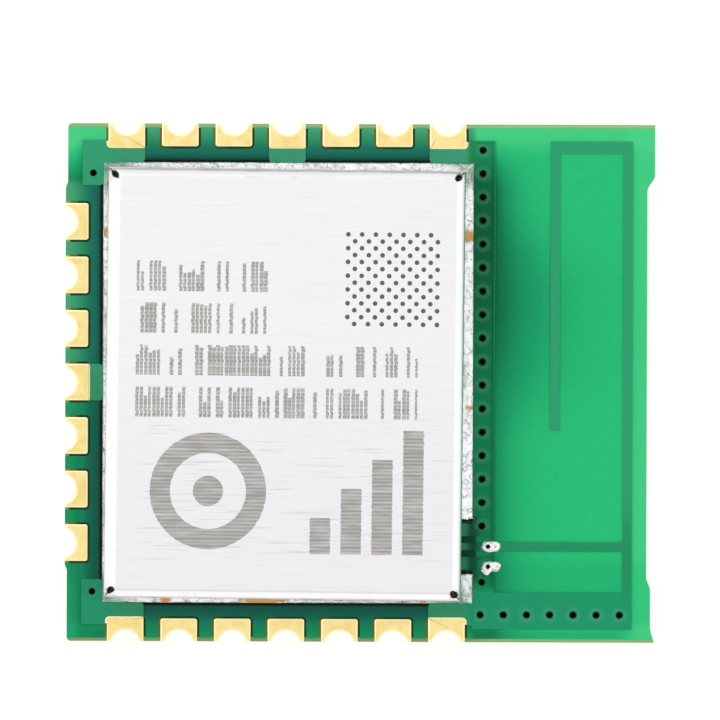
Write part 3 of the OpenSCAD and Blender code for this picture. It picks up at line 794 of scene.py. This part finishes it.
@dataclass(frozen=True)
class CanFinish:
    """Tinned sheet steel, brushed along the board and lightly etched by a laser, with a painted
    highlight on its folds and painted shade on its walls, fold edges and corner holes.
    """

    name: str
    layout: Layout
    bars: Bars = Bars()
    dots: DotPatch = DotPatch()
    emblems: Emblems = Emblems()
    # The plate, a little darker toward its lower edge: painted shade.
    upper: Colour = tone(238, 238, 240)
    lower: Colour = tone(235, 234, 236)
    # Painted highlight on the fold bands round the top.
    fold: Colour = tone(254, 254, 255)
    # Painted shade on the upright walls.
    wall: Colour = tone(214, 215, 219)
    etch: Colour = tone(160, 157, 152)
    dot: Colour = tone(104, 102, 97)
    # Grey for the scratches and patches, and for the painted shade lines along the folds.
    grime: Colour = tone(120, 119, 121)
    # Painted shade in the corner relief holes and their wrinkles.
    relief_hole_shade: Colour = tone(20, 18, 18)
    # Widths of the painted fold highlight on the left and right.
    left_fold_highlight: float = 0.38
    right_fold_highlight: float = 0.28
    fold_blur: float = 0.1
    hole_in: float = 0.28
    diagonal_share: float = 0.707

    def build(self) -> bpy.types.Material:
        """Makes the material."""
        shader = Shader(self.name)
        x, y, z = shader.place()
        x, y = self.layout.on_can(x, y)
        can, top = self.layout.can, self.layout.top
        brush = shader.grain(shader.spot((0.35, 24.0, 1.0)), 1.0, 3.0)
        streak = shader.grain(shader.spot((0.55, 9.0, 1.0)), 1.0, 2.0)
        # Painted shade: the plate a little darker toward its lower edge.
        base = shader.mix(y.ease(2.0, -4.0), self.upper, self.lower)
        base = shader.dim(base, 0.972 + brush * 0.056)
        low = y - can.lower
        # The plate inside the fold bands, which carry a painted highlight.
        face = (x - can.left).ease(self.left_fold_highlight - self.fold_blur, self.left_fold_highlight)
        face = face * (can.right - x).ease(self.right_fold_highlight - self.fold_blur, self.right_fold_highlight)
        face = face * low.ease(0.16, 0.24)
        # Darker cloudy patches on the fold bands.
        patches = shader.grain(shader.spot(), 5.0, 4.0).ease(0.62, 0.75)
        fold_patches = (1 - face) * can.inside(x, y).ease(0.02, 0.1) * patches
        dots = self.dots.mask(shader, x, y)
        etched = self._etched(shader, x, y).most(dots) * (z > top - 0.01)
        hatch = self._hatch(shader, y).most(dots)
        colour = shader.coats(
            self.fold,
            (face, base),
            # Painted shade line along the lower fold's edge, then painted shade lines along the
            # other folds.
            (abs(low - 0.22).ease(0.05, 0.0) * 0.16, self.grime),
            (self._fold_shade_lines(shader, x, y), self.grime),
            # Painted shade of the corner relief holes.
            (self._corner_shade(shader, x, y), self.relief_hole_shade),
            # Painted shade on the upright walls.
            (z.ease(top - 0.22, top - 0.42), self.wall),
            (fold_patches * 0.12, self.grime),
            (etched * hatch, shader.mix(dots, self.etch, self.dot)),
            (self._drag(shader, x, y, streak), self.grime),
        )
        height = brush * 0.5 + streak * 0.5 - etched * hatch * 0.8
        return shader.finish(
            Base_Color=colour,
            Metallic=0.7,
            Roughness=0.32 + brush * 0.14 + etched * 0.22,
            Normal=shader.bump(height, 0.006),
        )

    def _corner_shade(self, shader: Shader, x: Value, y: Value) -> Value:
        """Returns the painted shade of the relief hole at each corner and of the wrinkles round
        it.
        """
        can = self.layout.can
        across = (x - can.left).least(can.right - x)
        along = (y - can.lower).least(can.upper - y)
        diagonal = (across + along) * self.diagonal_share
        over = (across - along) * self.diagonal_share
        rough = shader.grain(shader.spot(), 6.0, 3.0) * 0.12 - 0.06
        away = diagonal - self.hole_in
        hole = (over * over + away * away * 0.6).root()
        wrinkle = abs(over + rough * 1.6 + 0.04).ease(0.035, 0.0) * diagonal.ease(0.5, 0.2)
        creases = abs(shader.grain(shader.spot(), 4.0, 2.0) - 0.5).ease(0.03, 0.0)
        creases = creases * (diagonal + 0.2).ease(0.62, 0.4)
        return (hole + rough).ease(0.12, 0.07).most(wrinkle * 0.55).most(creases * 0.5)

    def _fold_shade_lines(self, shader: Shader, x: Value, y: Value) -> Value:
        """Returns the painted shade lines along the folds: a dark line along the upper long fold
        and fainter ones along the other edges.
        """
        can = self.layout.can
        wander = shader.grain(shader.spot(), 1.5, 3.0)
        down = can.upper - y
        line = abs(down - 0.03 - wander * 0.04).ease(0.06, 0.0)
        under = abs(down - 0.2 - wander * 0.06).ease(0.03, 0.0) * wander.ease(0.5, 0.62) * 0.25
        low = abs((y - can.lower) - 0.02).ease(0.05, 0.0) * 0.4
        left = abs(x - can.left).ease(0.04, 0.0) * 0.4
        right = abs(can.right - x).ease(0.05, 0.0) * (0.45 + wander * 0.5)
        return (line * (0.3 + wander * 0.65)).most(low).most(left).most(right).most(under)

    def _etched(self, shader: Shader, x: Value, y: Value) -> Value:
        """Returns 1 on every etched mark, with ends that waver from line to line."""
        waver = shader.grain(shader.point(0.0, y * 9.0), 1.0, 1.0) - 0.5
        shifted = x + waver * 0.08
        return self.bars.mask(shader, shifted, y).most(self.emblems.mask(shader, shifted, y))

    def _hatch(self, shader: Shader, y: Value) -> Value:
        """Returns the strength of the laser's lines across an etched mark."""
        lines = shader.maths("SINE", y * 62.0) * 0.5 + 0.5
        break_up = shader.grain(shader.spot((1.2, 10.0, 1.0)), 1.0, 2.0)
        return (0.66 + lines * 0.3 + (break_up - 0.5) * 0.9).least(1.0).most(0.15)

    def _drag(self, shader: Shader, x: Value, y: Value, streak: Value) -> Value:
        """Returns the fine level scratches, which are thickest round the large marks."""
        band = y.ease(-0.6, -1.5) * y.ease(-5.3, -4.6)
        inner = x.ease(-6.4, -5.6) * x.ease(2.7, 2.2)
        dash = shader.grain(shader.spot((0.8, 22.0, 1.0)), 1.0, 2.0).ease(0.58, 0.72)
        return dash * (0.05 + band * inner * 0.2) + streak.ease(0.6, 0.75) * 0.03


@dataclass(frozen=True)
class SolderFinish:
    """Bright lumpy solder with dull clouds and dark crease lines, painted shade where the mesh
    carries it, and gold where it fell short.
    """

    name: str
    light: Colour = tone(246, 246, 247)
    dull: Colour = tone(188, 187, 186)
    crease_and_shade: Colour = tone(74, 70, 64)
    bare: Colour = tone(205, 158, 92)

    def build(self) -> bpy.types.Material:
        """Makes the material."""
        shader = Shader(self.name)
        cloud = shader.grain(shader.spot(), 5.5, 4.0)
        crease = abs(shader.grain(shader.spot(), 3.2, 5.0) - 0.5).ease(0.02, 0.0)
        fine = shader.grain(shader.spot(), 22.0, 3.0)
        colour = shader.coats(
            self.light,
            (cloud.ease(0.5, 0.78) * 0.8, self.dull),
            (crease * 0.7, self.crease_and_shade),
            # Painted shade that the mesh carries, with the seam's dark cracks.
            (shader.attribute("grime"), self.crease_and_shade),
            (shader.attribute("bare"), self.bare),
        )
        return shader.finish(
            Base_Color=colour,
            Metallic=0.75,
            Roughness=0.26 + fine * 0.18,
            Normal=shader.bump(fine + cloud, 0.01),
        )


@dataclass(frozen=True)
class FloorFinish:
    """White floor: white to the camera and in reflections, and it keeps a soft shadow."""

    name: str
    glow: float = 0.86
    paper: float = 0.19
    bounce: float = 0.9

    def build(self) -> bpy.types.Material:
        """Makes the material."""
        shader = Shader(self.name)
        seen = seen_rays(shader)
        paper = shader.node("ShaderNodeBsdfDiffuse", inputs={0: (self.paper,) * 3})
        glow = shader.node("ShaderNodeEmission", inputs={0: (1.0, 1.0, 1.0), 1: self.glow})
        lit = shader.node("ShaderNodeAddShader", inputs={0: paper.outputs[0], 1: glow.outputs[0]})
        plain = shader.node("ShaderNodeBsdfDiffuse", inputs={0: (self.bounce,) * 3})
        inputs = {0: seen, 1: plain.outputs[0], 2: lit.outputs[0]}
        mixed = shader.node("ShaderNodeMixShader", inputs=inputs)
        shader.node("ShaderNodeOutputMaterial", inputs={0: mixed.outputs[0]})
        return shader.material


def seen_rays(shader: Shader) -> Value:
    """Returns 1 for what the camera sees straight, in a reflection or through glass."""
    path = shader.node("ShaderNodeLightPath")
    kinds = ("Camera", "Glossy", "Transmission")
    camera, glossy, through = (Value(shader, path.outputs[f"Is {kind} Ray"]) for kind in kinds)
    return camera.most(glossy).most(through)


# ---- mesh tools ----


def new_piece(name: str, form: Form, *finishes: bpy.types.Material) -> bpy.types.Object:
    """Makes an object of a finished form.

    Args:
        name: The piece's name.
        form: Its shape, in metres, which is freed.
        *finishes: Its materials, in the order of the faces' material numbers.

    Returns:
        The object, at the origin.
    """
    mesh = bpy.data.meshes.new(name)
    form.to_mesh(mesh)
    form.free()
    for finish in finishes:
        mesh.materials.append(finish)
    piece = bpy.data.objects.new(name, mesh)
    bpy.context.scene.collection.objects.link(piece)
    return piece


def hand_over(piece: bpy.types.Object, slot: str, *nodes: str) -> None:
    """Lets a piece ride on the module and stand for CAD nodes.

    Args:
        piece: The finished piece.
        slot: A material slot's name; not used.
        *nodes: The CAD nodes that it replaces.
    """
    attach(piece, BODY)
    if nodes:
        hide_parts(*nodes)
    stands_for = ", ".join(nodes) or "nothing"
    LOG.info("%s: %d faces, stands for %s", piece.name, len(piece.data.polygons), stands_for)


def merged_copy(node: bpy.types.Object) -> Form:
    """Returns a CAD node's form with its loose triangles joined to flat faces."""
    form = bmesh.new()
    form.from_mesh(node.data)
    bmesh.ops.remove_doubles(form, verts=form.verts, dist=1e-7)
    flat = math.radians(0.4)
    bmesh.ops.dissolve_limit(form, angle_limit=flat, verts=form.verts, edges=form.edges)
    return form


def bevel_edges(
    form: Form, edges: Iterable[bmesh.types.BMEdge], width: float, steps: int
) -> list[bmesh.types.BMFace]:
    """Rounds edges.

    Args:
        form: The form that they belong to.
        edges: The edges.
        width: How far the rounding reaches, in millimetres.
        steps: How many faces it has across.

    Returns:
        The new faces.
    """
    made = bmesh.ops.bevel(
        form,
        geom=list(edges),
        offset=width * MM,
        offset_type="OFFSET",
        affect="EDGES",
        segments=steps,
        profile=0.5,
        material=-1,
        clamp_overlap=True,
    )
    return made["faces"]


def smooth_by_angle(form: Form, degrees: float = 30.0) -> None:
    """Shades a form smooth, apart from edges sharper than an angle."""
    limit = math.radians(degrees)
    for face in form.faces:
        face.smooth = True
    for edge in form.edges:
        if len(edge.link_faces) == 2:
            edge.smooth = edge.calc_face_angle(0.0) < limit


def carry(form: Form, name: str, rule: Callable[[Vector], float]) -> None:
    """Writes a number at each point of a form.

    Args:
        form: The form.
        name: The number's name, which a finish reads.
        rule: Gives the number for a place in millimetres.
    """
    layer = form.verts.layers.float.new(name)
    for vert in form.verts:
        vert[layer] = rule(vert.co / MM)


def clouds(place: Vector, scale: float, seed: float) -> float:
    """Returns smooth noise from about -1 to 1 at a place in millimetres."""
    return noise.noise(place * scale + Vector((seed, seed * 0.7, seed * 1.3)))


# ---- the module's pieces ----


@dataclass
class EdgeTerminals:
    """The plated half holes with their lands, each with an eased rim that carries a painted
    highlight.
    """

    layout: Layout
    count: int = 21
    rim: float = 0.045
    ease: float = 0.012
    gold: GoldFinish = GoldFinish("terminal_gold")
    # Painted highlights for the rims, the lit one for the upper-left side.
    bright: GoldFinish = GoldFinish(
        "terminal_rim_highlight_gold", tone(255, 246, 188), tone(255, 240, 176), 0.26, 6.0
    )
    lit: GoldFinish = GoldFinish(
        "terminal_lit_rim_highlight_gold", tone(255, 255, 200), tone(252, 252, 190), 0.26, 6.0
    )

    def build(self, nodes: dict[str, bpy.types.Object]) -> None:
        """Makes the terminals' pieces from their CAD forms."""
        finishes = self.gold.build(), self.bright.build(), self.lit.build()
        for number in range(1, self.count + 1):
            name = f"terminal_{number:02d}"
            form = merged_copy(nodes[name])
            self._dress(form)
            smooth_by_angle(form)
            hand_over(new_piece(f"gold_{name}", form, *finishes), "gold_plate", name)

    def _dress(self, form: Form) -> None:
        """Eases the land's edges and paints a highlight on its rim, strongest on the upper-left
        side.
        """
        seat = self.layout.seat * MM
        lands = [
            f for f in form.faces
            if f.normal.z > 0.99 and abs(f.calc_center_median().z - seat) < 1e-6
        ]
        thickness = self.rim * MM
        ring = bmesh.ops.inset_region(form, faces=lands, thickness=thickness, use_even_offset=True)
        centres = [face.calc_center_median() for face in ring["faces"]]
        middle = sum(centres, Vector()) / max(len(centres), 1)
        # Rim faces to the upper left get the stronger painted highlight.
        for face in ring["faces"]:
            away = (face.calc_center_median() - middle) / MM
            face.material_index = 2 if away.y - away.x > 0.3 else 1
        sharp = [
            e for e in form.edges
            if len(e.link_faces) == 2
            and e.calc_face_angle(0.0) > 1.0
            and min(v.co.z for v in e.verts) > seat - 1e-6
        ]
        for face in bevel_edges(form, sharp, self.ease, 2):
            face.material_index = 1


@dataclass
class ShieldCan:
    """The folded can, with its lower rim and gate eased."""

    layout: Layout
    ease: float = 0.02

    def build(self, nodes: dict[str, bpy.types.Object]) -> None:
        """Makes the can's piece from its CAD form."""
        form = merged_copy(nodes["shield_can"])
        seat = self.layout.seat * MM
        rim = [e for e in form.edges if all(abs(v.co.z - seat) < 1e-7 for v in e.verts)]
        bevel_edges(form, rim, self.ease, 2)
        smooth_by_angle(form, 25.0)
        self.layout.set_down(form, form.verts)
        finish = CanFinish("brushed_can_metal", self.layout).build()
        hand_over(new_piece("folded_shield_can", form, finish), "shield_metal", "shield_can")


@dataclass(frozen=True)
class Peek:
    """A place where the solder fell short and the gold land shows."""

    x: float
    y: float
    reach: float
    across: float = 0.16


@dataclass
class SolderSeam:
    """The uneven solder between the can's walls and its land, open at the gate."""

    layout: Layout
    tuck: float = 0.03
    rows: int = 9
    columns: int = 200
    low: float = 0.03
    high: float = 0.24
    near_side: float = 0.4
    peeks: tuple[Peek, ...] = (
        Peek(3.08, 4.12, 0.15, 0.3),
        Peek(3.1, -0.67, 0.07, 0.1),
        Peek(-7.1, 4.17, 0.12, 0.1),
        Peek(-5.43, -6.1, 0.14),
        Peek(-2.7, -6.1, 0.62, 0.1),
        Peek(1.8, -6.1, 0.1),
    )

    def build(self) -> None:
        """Makes the seam's piece."""
        form = self._ring()
        self._open_gate(form)
        self._raise(form)
        carry(form, "bare", self._bareness)
        # Painted shade at the wall's foot, with dark cracks.
        carry(form, "grime", self._wall_shade_and_cracks)
        for face in form.faces:
            face.smooth = True
        finish = SolderFinish("seam_solder").build()
        hand_over(new_piece("can_solder_seam", form, finish), "solder", "shield_solder")

    def _ring(self) -> Form:
        """Returns a flat ring from the can's walls to the land's edge, finely divided."""
        land, can = self.layout.land, self.layout.can
        form = bmesh.new()
        bmesh.ops.create_grid(form, x_segments=1, y_segments=1, size=0.5)
        size = Vector(((land.right - land.left) * MM, (land.upper - land.lower) * MM, 1))
        middle = land.middle()
        bmesh.ops.scale(form, vec=size, verts=form.verts)
        bmesh.ops.translate(form, vec=metres(*middle, self.layout.seat), verts=form.verts)
        inner = form.faces[:]
        bmesh.ops.inset_region(form, faces=inner, thickness=0.1 * MM, use_boundary=True)
        form.faces.ensure_lookup_table()
        core = max(form.faces, key=lambda f: f.calc_area())
        for vert in core.verts:
            side = can.left + self.tuck if vert.co.x < middle[0] * MM else can.right - self.tuck
            end = can.lower + self.tuck if vert.co.y < 0 else can.upper - self.tuck
            vert.co.x, vert.co.y = side * MM, end * MM
        self.layout.set_down(form, core.verts)
        spokes = [e for v in core.verts for e in v.link_edges if e not in core.edges]
        bmesh.ops.delete(form, geom=[core], context="FACES")
        bmesh.ops.subdivide_edges(form, edges=spokes, cuts=self.rows, use_grid_fill=True)
        long = [e for e in form.edges if e.calc_length() > 2 * MM]
        bmesh.ops.subdivide_edges(form, edges=long, cuts=self.columns, use_grid_fill=True)
        return form

    def _open_gate(self, form: Form) -> None:
        """Takes the ring away in front of the gate."""
        half = self.layout.gate / 2
        gone = [
            f for f in form.faces
            if f.calc_center_median().x > (self.layout.can.right - 0.5) * MM
            and abs(f.calc_center_median().y / MM - self.layout.feed) < half
        ]
        bmesh.ops.delete(form, geom=gone, context="FACES")

    def _raise(self, form: Form) -> None:
        """Lifts the ring's upper side into a lumpy fillet and closes it below."""
        made = bmesh.ops.extrude_face_region(form, geom=form.faces[:])
        upper = [item for item in made["geom"] if isinstance(item, bmesh.types.BMVert)]
        for vert in upper:
            place = vert.co / MM
            vert.co.z += self._height(place) * MM
            shift = Vector((clouds(place, 2.6, 3.0), clouds(place, 2.6, 9.0), 0)) * 0.02
            if self._share(place) < 0.85:
                vert.co += shift * MM
        bmesh.ops.recalc_face_normals(form, faces=form.faces)

    def _share(self, place: Vector) -> float:
        """Returns 0 at the can's wall and 1 at the land's edge."""
        out = -self.layout.can.depth(*self.layout.on_can(place.x, place.y)) + self.tuck
        in_ = self.layout.land.depth(place.x, place.y)
        return max(0.0, min(1.0, out / max(out + in_, 1e-6)))

    def _height(self, place: Vector) -> float:
        """Returns the solder's height above the land at a place."""
        share = self._share(place)
        swell = 0.5 + 0.5 * clouds(Vector((place.x, place.y, 0)), 0.9, 1.0)
        climb = (self.low + (self.high - self.low) * swell) * (1 - share) ** 1.7
        body = 0.045 + 0.035 * clouds(place, 3.4, 5.0) + 0.02 * clouds(place, 8.0, 2.0)
        edge = math.sqrt(max(0.0, 1 - share ** 6))
        corner = self._corner(place)
        height = (climb + max(body, 0.012) + corner * 0.3 * (1 - share)) * edge + 0.006
        return height * (1 - 0.93 * self._bareness(place))

    def _corner(self, place: Vector) -> float:
        """Returns how near a place is to a corner of the can, from 0 to 1."""
        can = self.layout.can
        x, y = self.layout.on_can(place.x, place.y)
        dx = min(abs(x - can.left), abs(x - can.right))
        dy = min(abs(y - can.lower), abs(y - can.upper))
        return max(0.0, 1 - math.hypot(dx, dy) / 0.75)

    def _bareness(self, place: Vector) -> float:
        """Returns 1 where gold shows."""
        best = 0.0
        for peek in self.peeks:
            along, over = place.x - peek.x, place.y - peek.y
            can = self.layout.can
            if min(abs(peek.x - can.right), abs(peek.x - can.left)) < self.near_side:
                along, over = over, along
            wobble = 1 + 0.35 * clouds(place, 6.0, 4.0)
            gone = math.hypot(along / peek.reach, over / peek.across) * wobble
            best = max(best, min(1.0, max(0.0, (1.15 - gone) / 0.3)))
        return best

    def _wall_shade_and_cracks(self, place: Vector) -> float:
        """Returns the painted shade at the foot of the can's wall and the dark cracks, which are
        stronger in the corners.
        """
        share = self._share(place)
        wall = max(0.0, 1 - share / 0.16) * (0.45 + 0.4 * clouds(place, 2.0, 8.0))
        crack = max(0.0, 1 - abs(clouds(place, 2.4, 6.0)) / 0.05)
        crack *= 0.25 + 0.6 * self._corner(place)
        return max(0.0, min(0.85, wall + crack))


@dataclass
class TuningSolder:
    """The two dabs of solder on the tuning lands, each with a pit over its via."""

    layout: Layout
    pit: float = 0.06
    height: float = 0.085
    lobe: float = 0.16
    turn: float = 0.12
    foot: float = 0.02

    def build(self) -> None:
        """Makes both dabs."""
        # The dab's near-black colours paint the shade round its foot and in the via pit.
        finish = SolderFinish("dab_solder", crease_and_shade=tone(20, 20, 16), bare=tone(14, 26, 18)).build()
        for number in (1, 2):
            node = f"tune_solder_{number}"
            self._dab(number, node, finish)

    def _dab(self, number: int, node: str, finish: bpy.types.Material) -> None:
        """Makes one dab over its land."""
        spot = Patch.of(node, -0.04)
        middle = spot.middle()
        seat = self.layout.seat
        half = (spot.right - spot.left) / 2, (spot.upper - spot.lower) / 2
        form = bmesh.new()
        bmesh.ops.create_uvsphere(form, u_segments=40, v_segments=24, radius=1.0)
        bmesh.ops.scale(form, vec=metres(*half, self.height), verts=form.verts)
        turn = Matrix.Rotation(self.turn, 3, "Z")
        bmesh.ops.rotate(form, cent=Vector(), matrix=turn, verts=form.verts)
        pit = Vector((spot.left + half[1] + 0.03 - middle[0], 0.0))
        for vert in form.verts:
            place = vert.co / MM
            push = 1 + 0.12 * clouds(place, 7.0, 3.0 * number)
            vert.co.x *= push
            vert.co.y *= push
            if number == 2 and place.x < 0 and place.y < 0:
                vert.co.y += place.y / half[1] * self.lobe * 0.5 * MM
                vert.co.x += place.y / half[1] * 0.05 * MM
            if number == 2 and place.x > 0:
                vert.co.y *= 0.88
            dip = max(0.0, 1 - (Vector((place.x, place.y)) - pit).length / self.pit)
            lumps = 1 + 0.2 * clouds(place, 9.0, 6.0)
            vert.co.z = max(0.0, vert.co.z * (1 - min(1.0, dip * 1.6)) * lumps)
        bmesh.ops.translate(form, vec=metres(*middle, seat), verts=form.verts)
        hole = Vector((middle[0] + pit.x, middle[1]))

        def pit_shade(place: Vector) -> float:
            """Returns 1 in the pit, where the via hole's painted shade goes."""
            away = (Vector((place.x, place.y)) - hole).length / self.pit
            return max(0.0, min(1.0, (1.25 - away) * 3))

        carry(form, "bare", pit_shade)
        # Painted shade round the dab's foot.
        carry(form, "grime", lambda place: max(0.0, min(0.9, 1 - (place.z - seat) / self.foot)))
        for face in form.faces:
            face.smooth = True
        hand_over(new_piece(f"solder_dab_{number}", form, finish), "solder", node)


# Name, light and deep screen colour, then roughness, metallic share and clouds, and the nodes.
PLAIN_FINISHES = (
    ("bare_copper", (214, 140, 96), (186, 112, 72), (0.35, 0.9),
     ("ground_pour", "ground_plane", "antenna_trace", "radio_line")),
    # The via barrels are near black: painted shade of the deep holes over the plating.
    ("shaded_via_plating", (30, 40, 22), (10, 20, 12), (0.55, 0.3), ("via_barrels",)),
    ("chip_back", (58, 60, 66), (44, 46, 52), (0.28, 0.2, 6.0), ("radio_chip",)),
    ("ball_solder", (206, 208, 210), (176, 178, 182), (0.3, 0.9), ("chip_balls",)),
    ("dark_ceramic", (70, 66, 60), (54, 50, 46), (0.6,), ("crystal_base",)),
    ("lid_metal", (226, 220, 204), (206, 200, 186), (0.3, 0.9, 2.0), ("crystal_lid",)),
    ("ferrite", (78, 80, 84), (58, 60, 64), (0.7, 0.0, 5.0), ("choke_core",)),
    ("pale_ceramic", (150, 172, 188), (130, 152, 170), (0.5,), ("band_filter",)),
    ("tan_ceramic", (190, 148, 108), (168, 126, 88), (0.5,), ("capacitor_",)),
    ("resistor_glaze", (40, 42, 46), (26, 28, 32), (0.35,), ("resistor_",)),
    ("tinned_ends", (210, 212, 214), (186, 188, 192), (0.35, 0.9),
     ("choke_ends", "filter_ends", "capacitor_ends", "resistor_ends")),
)


@dataclass
class CarriedNodes:
    """The CAD nodes whose forms stay, each dressed in the finish of its kind."""

    layout: Layout

    def build(self, nodes: dict[str, bpy.types.Object]) -> None:
        """Gives each node its finish."""
        for finish, names in self._table():
            material = finish.build()
            for name in self._matching(nodes, names):
                mesh = nodes[name].data
                mesh.materials.clear()
                mesh.materials.append(material)
                LOG.info("%s: %s", name, finish.name)

    @staticmethod
    def _matching(nodes: dict[str, bpy.types.Object], names: tuple[str, ...]) -> list[str]:
        """Returns the nodes that are named, in full or up to their number."""
        return [node for node in sorted(nodes) if {node, node.rstrip("0123456789")} & set(names)]

    def _table(self) -> list[tuple[Any, tuple[str, ...]]]:
        """Returns each finish with the nodes that wear it."""
        plain = [
            (GrainFinish(name, tone(*light), tone(*deep), *rest), worn_by)
            for name, light, deep, rest, worn_by in PLAIN_FINISHES
        ]
        return plain + [
            (MaskFinish("upper_solder_mask", self.layout, Face.UPPER), ("mask_top",)),
            (MaskFinish("lower_solder_mask", self.layout, Face.LOWER), ("mask_bottom",)),
            (LaminateFinish("glass_laminate", self.layout), ("board",)),
            (GoldFinish("land_gold"), ("shield_land", "tune_lands", "part_lands", "terminal_")),
        ]


@dataclass
class Studio:
    """The white floor, soft lamps, even sky and a camera straight above."""

    layout: Layout
    view_width: float = 20.168
    look_x: float = 0.003
    look_y: float = 0.644
    roll: float = 0.2
    lens: float = 500.0
    sensor: float = 36.0
    floor_size: float = 0.8

    def build(self) -> None:
        """Makes the floor, the light and the camera."""
        self._floor()
        self._sky()
        self._lamp("key_lamp", Vector((-0.09, 0.08, 0.16)), 0.14, 0.05)
        self._lamp("fill_lamp", Vector((0.12, -0.05, 0.13)), 0.16, 0.02)
        self._camera()
        bpy.context.scene.view_settings.view_transform = "Standard"

    def _floor(self) -> None:
        """Makes the floor just under the module."""
        form = bmesh.new()
        bmesh.ops.create_grid(form, x_segments=1, y_segments=1, size=self.floor_size)
        bmesh.ops.translate(form, vec=Vector((0, 0, -0.01 * MM)), verts=form.verts)
        floor = new_piece("studio_floor", form, FloorFinish("white_floor").build())

    @staticmethod
    def _sky() -> None:
        """Makes an even white sky that lights a little less than it shows."""
        shader = Shader("studio_sky", world=True)
        bpy.context.scene.world = shader.material
        strength = 0.84 + seen_rays(shader) * 0.16
        sky = shader.node("ShaderNodeBackground", inputs={0: (1.0, 1.0, 1.0), 1: strength})
        shader.node("ShaderNodeOutputWorld", inputs={0: sky.outputs[0]})

    @staticmethod
    def _lamp(name: str, place: Vector, size: float, power: float) -> None:
        """Makes one soft lamp that faces the module."""
        light = bpy.data.lights.new(name, "AREA")
        light.shape = "DISK"
        light.size = size
        light.energy = power
        lamp = bpy.data.objects.new(name, light)
        lamp.location = place
        lamp.rotation_euler = (-place).to_track_quat("-Z", "Y").to_euler()
        bpy.context.scene.collection.objects.link(lamp)

    def _camera(self) -> None:
        """Makes a long-lens camera that looks straight down."""
        data = bpy.data.cameras.new("camera")
        data.lens = self.lens
        data.sensor_width = self.sensor
        data.clip_start = 0.001
        data.clip_end = 10.0
        camera = bpy.data.objects.new("camera", data)
        distance = self.view_width / self.sensor * self.lens + self.layout.seat
        camera.location = (self.look_x * MM, self.look_y * MM, distance * MM)
        camera.rotation_euler = (0.0, 0.0, math.radians(self.roll))
        bpy.context.scene.collection.objects.link(camera)
        bpy.context.scene.camera = camera


def main() -> None:
    """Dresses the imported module."""
    logging.basicConfig(level=logging.INFO, format="%(name)s: %(message)s")
    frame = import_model()
    nodes = frame["nodes"]
    layout = Layout()
    CarriedNodes(layout).build(nodes)
    EdgeTerminals(layout).build(nodes)
    ShieldCan(layout).build(nodes)
    SolderSeam(layout).build()
    TuningSolder(layout).build()
    Studio(layout).build()


if __name__ == "__main__":
    main()
